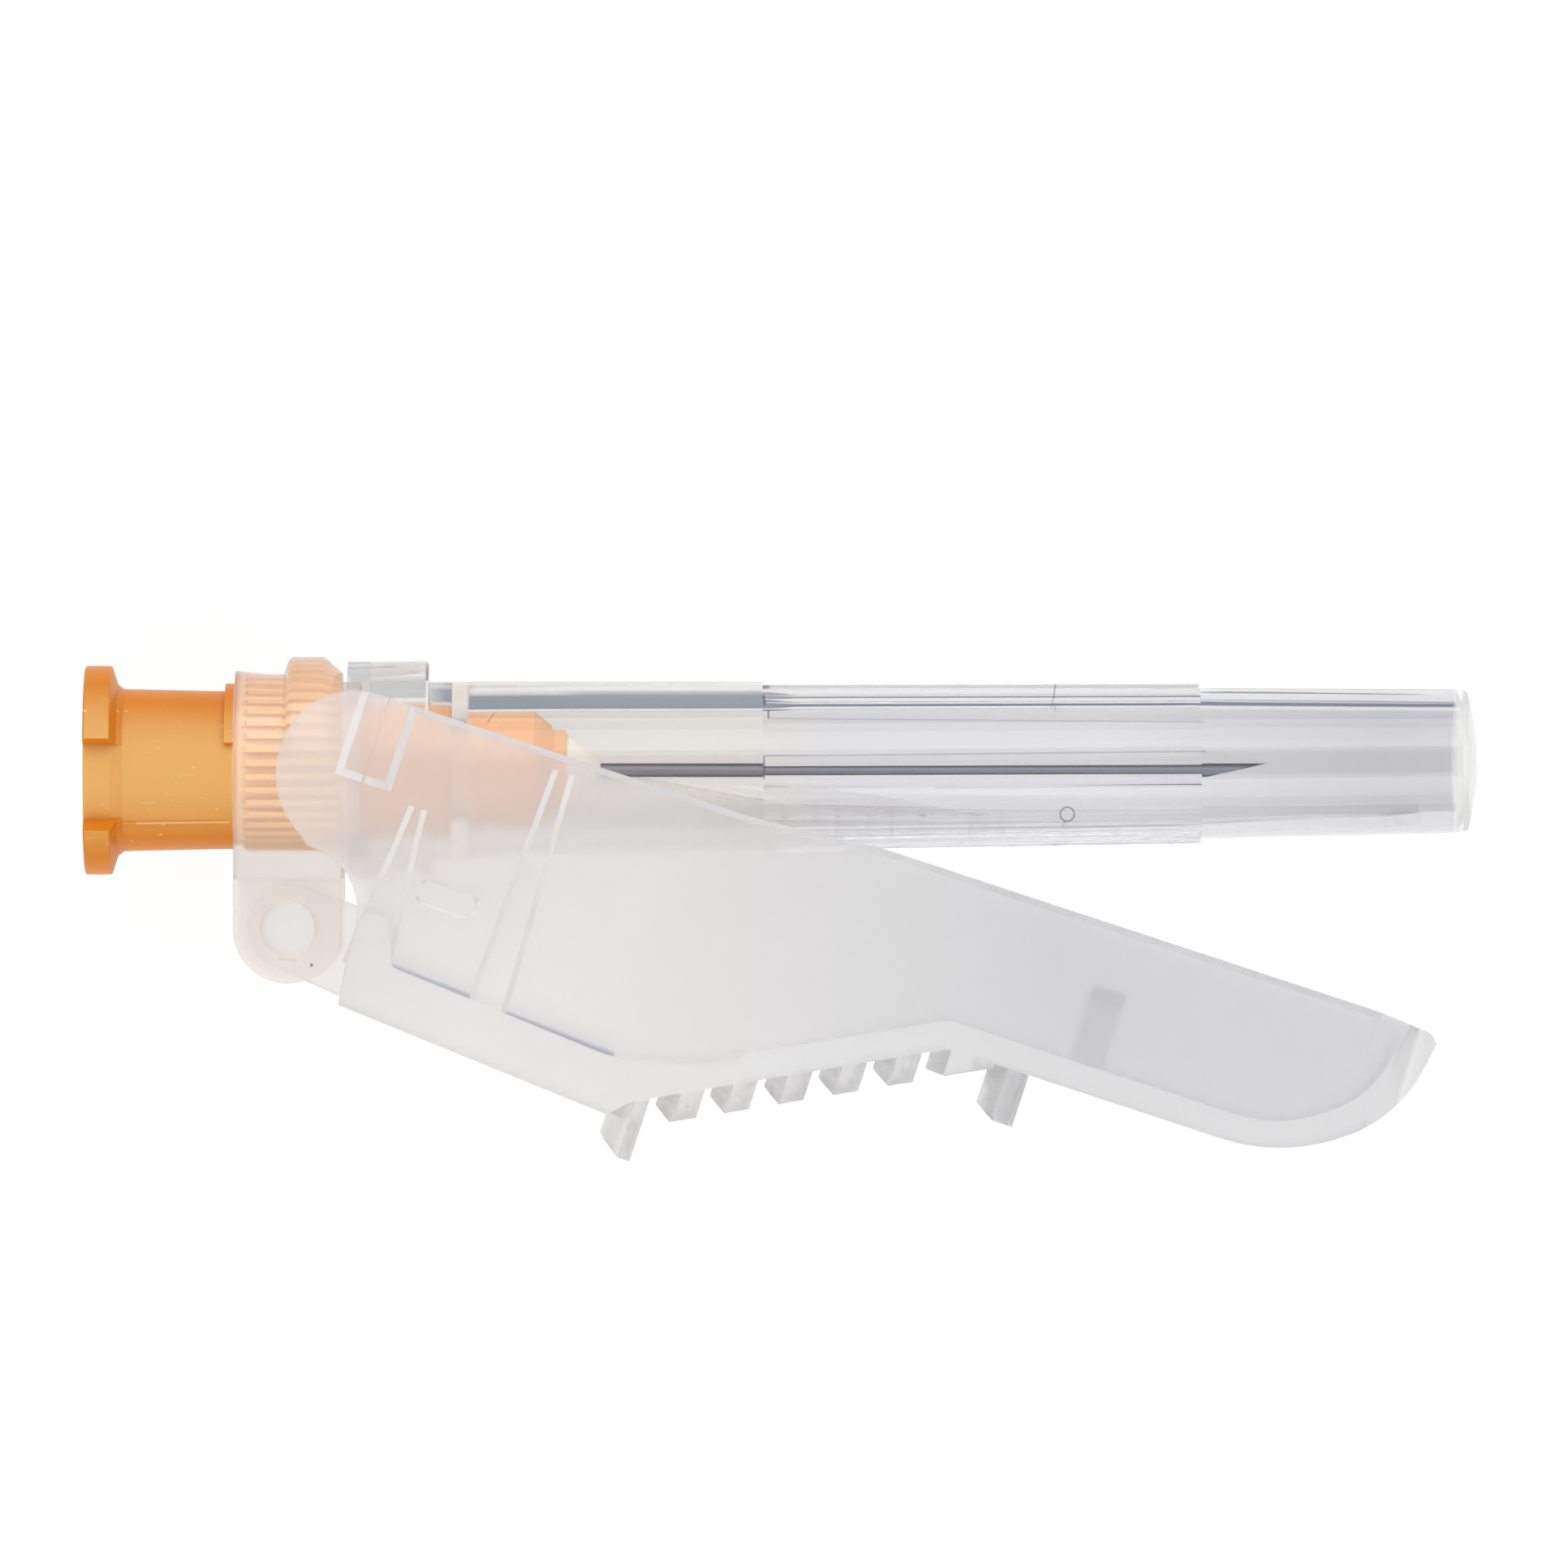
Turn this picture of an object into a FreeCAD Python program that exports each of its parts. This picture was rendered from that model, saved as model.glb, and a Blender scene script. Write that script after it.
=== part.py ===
# Safety hypodermic needle, 25 G by 1 inch, lying on its side with its guard half open.
# Millimetres. The origin is the centre of the hub's open end, +X runs along the needle to its point,
# +Y is the side away from the guard, and +Z is the hinge's own direction, up from the table.
import FreeCAD
import Part
import math
import os

# Cannula
cannula_r = 0.255
cannula_bore_r = 0.13
cannula_held = 5.36
cannula_reach = 26.14
bevel_angle = 12.8
lancet_angle = 17.0
lancet_turn = 32.0
lancet_length = 1.0
grind_block = 12.0
grind_width = 4.0

# Hub: female luer cone, lugs and barrel
luer_mouth_r = 2.135
luer_taper = 0.03
luer_depth = 11.0
funnel_length = 1.2
mouth_gap_r = 3.18
lug_r = 3.9
lug_length = 1.0
lug_fall = 0.45
lug_fall_foot = 0.18
lug_width_deg = 126.9
lug_turn_deg = 8.95
barrel_rear_r = 3.03
barrel_front_r = 2.95
barrel_length = 3.8
flash_height = 0.035
flash_width = 0.09
flash_turn_deg = 130.0
root_overlap = 0.4

# Hub: seat of the collar, sleeve, cap fit and nose
shoulder_length = 0.36
shoulder_r = 3.24
shoulder_half_deg = 71.5
rib_count = 38
rib_r = 3.0
rib_height = 0.2
rib_width = 0.2
rib_start = 0.12
rib_ramp = 0.36
sleeve_rear_r = 2.5
sleeve_front_r = 2.44
sleeve_length = 4.2
sleeve_chamfer = 0.12
cap_fit_r = 2.18
cap_fit_length = 3.07
nose_chamfer = 0.64
nose_shoulder_r = 1.65
nose_r = 1.5
nose_length = 0.54
glue_well_r = 1.12
glue_well_depth = 1.4

# Adhesive bead
bead_base_r = 1.36
bead_bulge = 0.1
bead_length = 1.27

# Hinge collar
collar_length = 4.0
ring_wall = 0.58
ring_flare = 0.12
ring_flare_length = 1.2
collar_lip = 0.1
spigot_r = 3.3
spigot_length = 0.7
spigot_bore_gap = 0.1
band_height = 0.64
band_setback = 1.82
band_rise = 0.2
band_top = 1.3
band_half_deg = 83.0
band_round = 0.28
band_foot = 0.05
bridge_drop = 0.46
ear_inner_half = 2.5
ear_thick = 1.1
ear_wall = 1.02
gate_r = 1.0
gate_setback = 0.57
gate_height = -5.12
gate_foot = -5.18
gate_depth = 0.06

# Hinge and guard tongue
trunnion_r = 1.0
trunnion_clearance = 0.04
trunnion_length = 1.0
tongue_side_gap = 0.1
tongue_barrel_wall = 0.57
tongue_top_gap = 0.25
tongue_slope_deg = 5.8
tongue_root = 0.3

# Protective cap
cap_mouth_gap = 0.24
counterbore_gap = 0.15
counterbore_end_gap = 0.36
flange_r = 4.1
flange_length = 3.03
flange_chamfer = 0.1
cap_bore_gap = 0.09
cap_step_length = 0.58
cap_fit_clearance = 0.03
cap_bore_mid_r = 2.05
cap_bore_end_r = 1.88
cap_rear_r = 3.33
cap_rear_front_r = 3.21
cap_rear_length = 12.43
cap_flats = 16
cap_flat_rear_r = 3.17
cap_flat_front_r = 3.05
cap_flat_turn_deg = 8.2
cap_tip_rear_r = 2.82
cap_tip_front_r = 2.67
cap_tip_length = 10.33
cap_room = 7.45
cap_end_wall = 0.39
cap_end_bulge = 0.36
cap_corner_round = 0.26
cap_dome_r = 7.2
cap_dome_knee_r = 1.2
cap_lean_deg = 0.55

# Guard: widths across the hinge direction
guard_tilt_deg = 18.2
guard_wall = 0.85
wide_clearance = 0.32
slim_clearance = 0.3
taper_start = 12.5
taper_end = 17.5
taper_round = 2.0
tip_corner_round = 1.6

# Guard: side outline, heights measured from the hinge square to the guard's length
rim_height = 9.3
slim_rim_lift = 0.4
rim_ramp_start = 14.88
rim_ramp_middle = 16.82
rim_ramp_end = 20.12
rim_ramp_lift = 0.12
rim_chamfer = 0.24
bevel_reach = 0.5
bevel_margin = 0.005
lobe_rear = 2.335
lobe_round_share = 0.46
lobe_low_share = 0.244
lobe_low_round_share = 0.49
notch_gap = 1.1
notch_r = 2.45
notch_rear_u = -0.24
notch_web_gap = 0.15
notch_front_drop = 0.03
web_gap = 0.36
web_foot = -0.21
web_lean = 0.24
web_top = 1.5
web_length = 1.0
floor_start = 4.09
floor_rear = -0.15
floor_front = -0.77
floor_bend = 12.76
keel_rear = -2.1
keel_front = -2.85
keel_end = 13.42
pad_start = 14.09
pad_angle_deg = 27.6
pad_start_height = -2.13
pad_wall = 1.04
slim_keel = 3.41
slim_floor = 4.42
guard_room = 5.45
pad_floor_gap = 0.35
pad_floor_run = 2.1
pad_floor_drop = 1.02

# Guard: rounded tip, distances back from the tip and up from the keel or floor
chin_start = 4.15
chin_start_round = 7.0
chin_back = 0.53
chin_rise = 2.83
chin_round = 5.2
tip_face_drop = 0.46
tip_corner_back = 0.36
tip_corner_drop = 0.15
tip_rim_back = 2.3
inner_chin_start = 4.46
inner_chin_start_round = 5.3
inner_chin_back = 1.79
inner_chin_rise = 2.24
inner_chin_round = 3.6
inner_face_back = 1.25
inner_face_lean = 0.05

# Guard: grip ridges under the pad
ridge_bow = 0.75
tooth_count = 5
tooth_pitch = 1.82
tooth_first = 16.52
tooth_width = 0.78
tooth_height = 1.12
tooth_dip = 0.68
rear_ridge_width = 0.64
rear_ridge_crest = -4.33
front_ridge_start = 27.09
front_ridge_width = 0.73
front_ridge_crest = 1.39
front_ridge_dip = 0.42
wedge_start = 24.88
wedge_length = 1.58
wedge_rear_height = 1.0
wedge_front_height = 0.18
ridge_margin = 0.3
ridge_root = 0.4
ridge_floor = -7.0

# Guard: inside ribs, lock pocket and cannula hook
rib_rise = 0.3
rib_root = 0.62
rear_rib_u = 3.2
rear_rib_top = 5.75
rear_rib_top_width = 0.7
rear_rib_root_width = 1.79
front_rib_u = 7.93
front_rib_top = 8.7
front_rib_top_width = 0.85
front_rib_root_width = 1.6
boss_u = 5.27
boss_v = 2.88
boss_length = 2.42
boss_width = 1.1
boss_rise = 0.25
boss_round = 0.5
boss_draft = 0.14
rib_draft = 0.22
draft_overlap = 0.05
pocket_start = -0.19
pocket_end = 2.09
pocket_foot = 5.96
pocket_depth = 0.3
pocket_draft = 0.33
pocket_line = 0.1
hook_u = 29.1
hook_length = 1.3
hook_height = 2.95
hook_side = 0.5
hook_thick = 0.75
hook_reach = 0.75
hook_head = 0.75
hook_root = 0.4
hook_overlap = 0.1

# General fits between pieces that stay together
seat_gap = 0.01

# Stations along the needle
shoulder_x = lug_length + lug_fall + barrel_length
collar_x = shoulder_x + shoulder_length
collar_end = collar_x + collar_length
rib_end = collar_end - collar_lip
sleeve_end = rib_end + sleeve_length
fit_end = sleeve_end + cap_fit_length
nose_x = fit_end + nose_chamfer
hub_end = nose_x + nose_length
cannula_x = hub_end - cannula_held
cannula_length = cannula_held + cannula_reach
point_x = hub_end + cannula_reach
cap_mouth_x = collar_end + cap_mouth_gap
cap_end_x = point_x + cap_room + cap_end_wall

# Radii that follow from the fits
collar_bore_r = rib_r + seat_gap
ring_r = collar_bore_r + ring_wall
band_r = ring_r + band_height
trunnion_hole_r = trunnion_r + trunnion_clearance
ear_r = trunnion_hole_r + ear_wall
tongue_barrel_r = trunnion_r + tongue_barrel_wall
cap_bore_r = sleeve_rear_r + cap_bore_gap
cap_fit_bore_r = cap_fit_r + cap_fit_clearance

# Hinge centre
hinge_x = collar_x + ear_r
bridge_y = -(ring_r + bridge_drop)
hinge_y = bridge_y - tongue_top_gap - tongue_barrel_r

# Guard widths and length
wide_half = max(band_r, flange_r) + wide_clearance
slim_half = cap_rear_r + slim_clearance
wide_outer = wide_half + guard_wall
slim_outer = slim_half + guard_wall
web_u = ear_r + web_gap
slim_rim_height = rim_height + slim_rim_lift
notch_height = ear_r + notch_gap
lobe_height = rim_height - notch_height
lobe_low = notch_height + lobe_height * lobe_low_share
wall_root = guard_wall / 2
guard_tip = point_x - hinge_x + guard_room
tongue_half = ear_inner_half - tongue_side_gap

X_AXIS = FreeCAD.Vector(1, 0, 0)
Y_AXIS = FreeCAD.Vector(0, 1, 0)
Z_AXIS = FreeCAD.Vector(0, 0, 1)
CENTRE = FreeCAD.Vector(0, 0, 0)


def outline(corners):
    # A closed flat face of straight runs; each corner is (x, y, radius), with 0 for a sharp one
    points = [FreeCAD.Vector(x, y, 0) for x, y, radius in corners]
    bends = []
    for i, (x, y, radius) in enumerate(corners):
        here = points[i]
        if radius == 0:
            bends.append((here, None, here))
            continue
        back = (points[i - 1] - here).normalize()
        ahead = (points[(i + 1) % len(points)] - here).normalize()
        half = back.getAngle(ahead) / 2
        reach = radius / math.tan(half)
        inward = (back + ahead).normalize()
        middle = here + inward * (radius / math.sin(half) - radius)
        bends.append((here + back * reach, middle, here + ahead * reach))
    edges = []
    for i, (entry, middle, leave) in enumerate(bends):
        if middle is not None:
            edges.append(Part.Arc(entry, middle, leave).toShape())
        following = bends[(i + 1) % len(bends)][0]
        if (following - leave).Length > 1e-6:
            edges.append(Part.LineSegment(leave, following).toShape())
    return Part.Face(Part.Wire(edges))


def turned(corners, sweep=360.0, centre_deg=0.0):
    # A profile of (x, radius) corners turned about the needle axis; 0 degrees is +Y, 90 is +Z
    solid = outline(corners).revolve(CENTRE, X_AXIS, sweep)
    solid.rotate(CENTRE, X_AXIS, centre_deg - (sweep / 2 if sweep < 360 else 0))
    return solid


def across(corners, low, high):
    # A side outline given thickness along Z
    solid = outline(corners).extrude(Z_AXIS * (high - low))
    solid.translate(Z_AXIS * low)
    return solid


def upright(corners, low, high):
    # A plan outline of (x, z) corners given height along Y
    solid = outline(corners).extrude(Z_AXIS * (high - low))
    solid.rotate(CENTRE, X_AXIS, -90)
    solid.translate(Y_AXIS * low)
    return solid


def merged(shapes):
    solid = shapes[0].multiFuse(shapes[1:])
    return solid.removeSplitter()


def mirrored(shape):
    # The same shape on the other side of the guard's middle plane
    return shape.mirror(CENTRE, Z_AXIS)


def make_cannula():
    tube = Part.makeCylinder(cannula_r, cannula_length, FreeCAD.Vector(cannula_x, 0, 0), X_AXIS)
    bore = Part.makeCylinder(cannula_bore_r, cannula_length, FreeCAD.Vector(cannula_x, 0, 0), X_AXIS)
    tube = tube.cut(bore)
    # The long bevel faces -Y and leaves the point on the +Y side
    point = FreeCAD.Vector(point_x, cannula_r, 0)
    corner = FreeCAD.Vector(-grind_block + 2, -grind_width, -grind_width / 2)
    bevel = Part.makeBox(grind_block, grind_width, grind_width, corner)
    bevel.rotate(CENTRE, Z_AXIS, bevel_angle)
    bevel.translate(point)
    tube = tube.cut(bevel)
    # Two short facets beside the point
    corner = FreeCAD.Vector(-lancet_length * 2, -grind_width, -grind_width / 2)
    for side in (-1, 1):
        facet = Part.makeBox(lancet_length * 3, grind_width, grind_width, corner)
        facet.rotate(CENTRE, Z_AXIS, lancet_angle)
        facet.translate(point)
        facet.rotate(FreeCAD.Vector(0, cannula_r, 0), X_AXIS, side * lancet_turn)
        tube = tube.cut(facet)
    return tube


def make_hub():
    rear_root = rib_r - rib_height
    luer_end_r = luer_mouth_r - luer_taper * luer_depth
    seat_r = cannula_r + seat_gap
    root_r = luer_mouth_r + root_overlap
    body = turned([
        (0, luer_mouth_r, 0),
        (0, mouth_gap_r, 0),
        (lug_length, mouth_gap_r, 0),
        (lug_length + lug_fall, barrel_rear_r, 0),
        (shoulder_x, barrel_front_r, 0),
        (collar_x, barrel_front_r, 0),
        (collar_x, rear_root, 0),
        (rib_end, rear_root, 0),
        (rib_end, sleeve_rear_r, 0),
        (sleeve_end - sleeve_chamfer, sleeve_front_r, 0),
        (sleeve_end, sleeve_front_r - sleeve_chamfer, 0),
        (sleeve_end, cap_fit_r, 0),
        (fit_end, cap_fit_r, 0),
        (nose_x, nose_shoulder_r, 0),
        (nose_x, nose_r, 0),
        (hub_end, nose_r, 0),
        (hub_end, glue_well_r, 0),
        (hub_end - glue_well_depth, glue_well_r, 0),
        (hub_end - glue_well_depth, seat_r, 0),
        (luer_depth + funnel_length, seat_r, 0),
        (luer_depth, luer_end_r, 0),
    ])
    pieces = [body]
    # Two lugs that take a luer lock thread
    lug = [
        (0, root_r, 0),
        (0, lug_r, 0.12),
        (lug_length, lug_r, 0.12),
        (lug_length + lug_fall / 2, barrel_rear_r + lug_fall_foot, 0),
        (lug_length + lug_fall, barrel_rear_r, 0),
        (lug_length + lug_fall, root_r, 0),
    ]
    for turn in (0, 180):
        pieces.append(turned(lug, lug_width_deg, lug_turn_deg + turn))
    # Raised part of the shoulder that the collar stops against
    pieces.append(turned([
        (shoulder_x, root_r, 0),
        (shoulder_x, shoulder_r, 0),
        (collar_x, shoulder_r, 0),
        (collar_x, root_r, 0),
    ], 2 * shoulder_half_deg, 0))
    # Full ribs grip the collar's bore
    rib = across([
        (collar_x + rib_start, rear_root - 0.1, 0),
        (collar_x + rib_start + rib_ramp, rib_r, 0),
        (rib_end, rib_r, 0),
        (rib_end, rear_root - 0.1, 0),
    ], -rib_width / 2, rib_width / 2)
    for i in range(rib_count):
        copy = rib.copy()
        copy.rotate(CENTRE, X_AXIS, i * 360.0 / rib_count)
        pieces.append(copy)
    # Fine flash where the two mould halves met
    flash = across([
        (lug_length + lug_fall, barrel_front_r - 0.2, 0),
        (lug_length + lug_fall, barrel_rear_r + flash_height, 0),
        (shoulder_x, barrel_front_r + flash_height, 0),
        (shoulder_x, barrel_front_r - 0.2, 0),
    ], -flash_width / 2, flash_width / 2)
    for turn in (0, 180):
        copy = flash.copy()
        copy.rotate(CENTRE, X_AXIS, flash_turn_deg + turn)
        pieces.append(copy)
    return merged(pieces)


def make_bead():
    inner_r = cannula_r + seat_gap
    well_r = glue_well_r - seat_gap
    start = hub_end - glue_well_depth + seat_gap
    face_x = hub_end + seat_gap
    middle = FreeCAD.Vector(hub_end + bead_length / 2, (bead_base_r + inner_r) / 2 + bead_bulge, 0)
    foot = FreeCAD.Vector(face_x, bead_base_r, 0)
    tip = FreeCAD.Vector(hub_end + bead_length, inner_r + 0.02, 0)
    corners = [
        FreeCAD.Vector(hub_end + bead_length, inner_r, 0),
        FreeCAD.Vector(start, inner_r, 0),
        FreeCAD.Vector(start, well_r, 0),
        FreeCAD.Vector(face_x, well_r, 0),
        foot,
    ]
    edges = [Part.LineSegment(a, b).toShape() for a, b in zip(corners, corners[1:])]
    edges.append(Part.Arc(foot, middle, tip).toShape())
    edges.append(Part.LineSegment(tip, corners[0]).toShape())
    return Part.Face(Part.Wire(edges)).revolve(CENTRE, X_AXIS, 360)


def make_collar():
    spigot_bore = sleeve_rear_r + spigot_bore_gap
    ring = turned([
        (collar_x, collar_bore_r, 0),
        (collar_x, ring_r + ring_flare, 0),
        (collar_x + ring_flare_length, ring_r, 0.8),
        (collar_end, ring_r, 0),
        (collar_end, spigot_r, 0),
        (collar_end + spigot_length, spigot_r, 0),
        (collar_end + spigot_length, spigot_bore, 0),
        (rib_end + seat_gap, spigot_bore, 0),
        (rib_end + seat_gap, collar_bore_r, 0),
    ])
    band_x = collar_x + band_setback
    band = turned([
        (band_x, ring_r - root_overlap, 0),
        (band_x, ring_r, 0),
        (band_x + band_rise, band_r, band_round),
        (band_x + band_rise + band_top, band_r, band_round),
        (collar_end, ring_r + band_foot, 0),
        (collar_end, ring_r - root_overlap, 0),
    ], 2 * band_half_deg, 0)
    # Bridge and two ears hang below the ring
    ear_outer = ear_inner_half + ear_thick
    block = Part.makeBox(
        collar_length, abs(bridge_y), 2 * ear_outer,
        FreeCAD.Vector(collar_x, bridge_y, -ear_outer),
    )
    plate = outline([
        (collar_x, 0, 0),
        (collar_x, hinge_y, 0),
        (hinge_x + ear_r, hinge_y, 0),
        (hinge_x + ear_r, 0, 0),
    ]).extrude(Z_AXIS * ear_thick)
    disc = Part.makeCylinder(ear_r, ear_thick, FreeCAD.Vector(hinge_x, hinge_y, 0), Z_AXIS)
    ear = plate.fuse(disc)
    trim = Part.makeBox(collar_length, 40, ear_thick, FreeCAD.Vector(collar_x, -20, 0))
    ear = ear.common(trim)
    ear.translate(Z_AXIS * ear_inner_half)
    pieces = [ring, band, block, ear, mirrored(ear)]
    solid = pieces[0].multiFuse(pieces[1:])
    # The hub passes through, and the ears' holes take the guard's trunnions
    passage = Part.makeCylinder(
        collar_bore_r, rib_end + seat_gap - collar_x, FreeCAD.Vector(collar_x, 0, 0), X_AXIS
    )
    front = Part.makeCylinder(spigot_bore, 10, FreeCAD.Vector(collar_x, 0, 0), X_AXIS)
    hole = Part.makeCylinder(
        trunnion_hole_r, 4 * ear_outer, FreeCAD.Vector(hinge_x, hinge_y, -2 * ear_outer), Z_AXIS
    )
    solid = solid.cut(passage).cut(front).cut(hole)
    # Shallow mark of the moulding gate at the rear edge of the upper ear
    gate_x = collar_x - gate_setback
    gate = Part.makeCylinder(
        gate_r, ear_thick, FreeCAD.Vector(gate_x, gate_height, ear_outer - gate_depth), Z_AXIS
    )
    above = Part.makeBox(
        2 * gate_r, 2 * gate_r, 2 * ear_thick, FreeCAD.Vector(gate_x, gate_foot, ear_inner_half)
    )
    return solid.cut(gate.common(above)).removeSplitter()


def flat_sided(radius, x):
    # One end outline of the cap's flat-sided stretch
    points = []
    for i in range(cap_flats):
        turn = math.radians(90 - cap_flat_turn_deg + i * 360.0 / cap_flats)
        points.append(FreeCAD.Vector(x, radius * math.cos(turn), radius * math.sin(turn)))
    return Part.makePolygon(points + [points[0]])


def make_cap():
    flange_end = cap_mouth_x + flange_length
    flat_x = flange_end + cap_rear_length
    tip_x = cap_end_x - cap_tip_length
    rear = turned([
        (cap_mouth_x, 0, 0),
        (cap_mouth_x, flange_r, 0),
        (flange_end - flange_chamfer, flange_r, 0),
        (flange_end, flange_r - flange_chamfer, 0),
        (flange_end, cap_rear_r, 0),
        (flat_x, cap_rear_front_r, 0),
        (flat_x, 0, 0),
    ])
    flats = Part.makeLoft(
        [flat_sided(cap_flat_rear_r, flat_x), flat_sided(cap_flat_front_r, tip_x)], True, True
    )
    edge_x = cap_end_x - cap_end_bulge
    tip = turned([
        (tip_x - 0.3, 0, 0),
        (tip_x - 0.3, cap_tip_rear_r, 0),
        (edge_x, cap_tip_front_r, cap_corner_round),
        (cap_end_x, cap_dome_knee_r, cap_dome_r),
        (cap_end_x, 0, 0),
    ])
    solid = merged([rear, flats, tip])
    # Counterbore, sleeve bore, friction fit and the long tapering bore
    spigot_end = collar_end + spigot_length
    counterbore_end = spigot_end + counterbore_end_gap
    counterbore_r = spigot_r + counterbore_gap
    step_end = sleeve_end + cap_step_length
    taper_x = fit_end + nose_chamfer
    inner_end = cap_end_x - cap_end_wall - cap_end_bulge
    bore = turned([
        (cap_mouth_x - 1, 0, 0),
        (cap_mouth_x - 1, counterbore_r, 0),
        (counterbore_end, counterbore_r, 0),
        (counterbore_end, cap_bore_r, 0),
        (sleeve_end, cap_bore_r, 0),
        (step_end, cap_fit_bore_r, 0),
        (taper_x, cap_fit_bore_r, 0),
        (tip_x, cap_bore_mid_r, 0),
        (inner_end, cap_bore_end_r, 0),
        (inner_end + cap_end_bulge / 2, cap_bore_end_r - cap_end_bulge, 0),
        (inner_end + cap_end_bulge, cap_dome_knee_r, 0),
        (inner_end + cap_end_bulge, 0, 0),
    ])
    solid = solid.cut(bore)
    # The cap leans within the play of its fit
    solid.rotate(FreeCAD.Vector((step_end + fit_end) / 2, 0, 0), Z_AXIS, cap_lean_deg)
    return solid


def pad_height(u):
    # Underside of the thumb pad at a distance u from the hinge
    return pad_start_height + (u - pad_start) * math.tan(math.radians(pad_angle_deg))


def pad_reach(v):
    # Distance from the hinge at which the pad's underside is at height v
    return pad_start + (v - pad_start_height) / math.tan(math.radians(pad_angle_deg))


def plan(half_wide, half_slim, front, corner):
    # Plan outline of the guard, wide at the collar and slim over the needle
    return [
        (-10, half_wide, 0),
        (taper_start, half_wide, taper_round),
        (taper_end, half_slim, taper_round),
        (front, half_slim, corner),
        (front, -half_slim, corner),
        (taper_end, -half_slim, taper_round),
        (taper_start, -half_wide, taper_round),
        (-10, -half_wide, 0),
    ]


def guard_side():
    # Side outline of the guard, from the web behind the tongue round by the tip to the rear lobe
    return [
        (web_u, web_foot, 0.5),
        (web_u + web_lean, keel_rear, 0.15),
        (keel_end, keel_front, 0.2),
        (pad_start, pad_start_height, 0.2),
        (pad_reach(slim_keel), slim_keel, 1.5),
        (guard_tip - chin_start, slim_keel, chin_start_round),
        (guard_tip - chin_back, slim_keel + chin_rise, chin_round),
        (guard_tip, slim_rim_height - tip_face_drop, 0.15),
        (guard_tip - tip_corner_back, slim_rim_height - tip_corner_drop, 0.3),
        (guard_tip - tip_rim_back, slim_rim_height, 0),
        (rim_ramp_end, slim_rim_height, 0),
        (rim_ramp_middle, rim_height + rim_ramp_lift, 0),
        (rim_ramp_start, rim_height, 0),
        (-lobe_rear, rim_height, lobe_height * lobe_round_share),
        (-lobe_rear, lobe_low, lobe_height * lobe_low_round_share),
        (notch_rear_u, notch_height, 0),
        (web_u - notch_web_gap, notch_height - notch_front_drop, notch_r),
    ]


def channel_side():
    # Side outline of the space between the guard's walls, open above and behind
    lift = pad_wall / math.cos(math.radians(pad_angle_deg))
    pad_floor_u = taper_end + pad_floor_gap
    inner_face_u = guard_tip - inner_face_back
    pad_floor_end = pad_reach(slim_floor - lift)
    return [
        (-10, rim_height + 4, 0),
        (-10, -10, 0),
        (web_u, -10, 0),
        (web_u, web_top, 0.2),
        (web_u + web_length, web_top, 0.2),
        (floor_start, floor_rear, 0.3),
        (floor_bend, floor_front, 2.0),
        (pad_floor_u - pad_floor_run, pad_height(pad_floor_u) + lift - pad_floor_drop, 1.5),
        (pad_floor_u, pad_height(pad_floor_u) + lift, 1.5),
        (pad_floor_end, slim_floor, 1.2),
        (guard_tip - inner_chin_start, slim_floor, inner_chin_start_round),
        (guard_tip - inner_chin_back, slim_floor + inner_chin_rise, inner_chin_round),
        (inner_face_u, rim_height, 0),
        (inner_face_u + inner_face_lean, rim_height + 4, 0),
    ]


def dip_cutter(half, dip, crest, start, length):
    # A long cylinder that hollows the crest of a ridge across the guard
    radius = (half * half + dip * dip) / (2 * dip)
    return Part.makeCylinder(radius, length, FreeCAD.Vector(start, crest + dip - radius, 0), X_AXIS)


def bowed(front_u, width, low, high):
    # A wall across the guard whose middle bows towards the hinge
    half = slim_outer
    radius = (half * half + ridge_bow * ridge_bow) / (2 * ridge_bow)
    centre = FreeCAD.Vector(front_u - ridge_bow + radius, low, 0)
    outer = Part.makeCylinder(radius + width, high - low, centre, Y_AXIS)
    inner = Part.makeCylinder(radius, high - low, centre, Y_AXIS)
    return outer.cut(inner)


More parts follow.
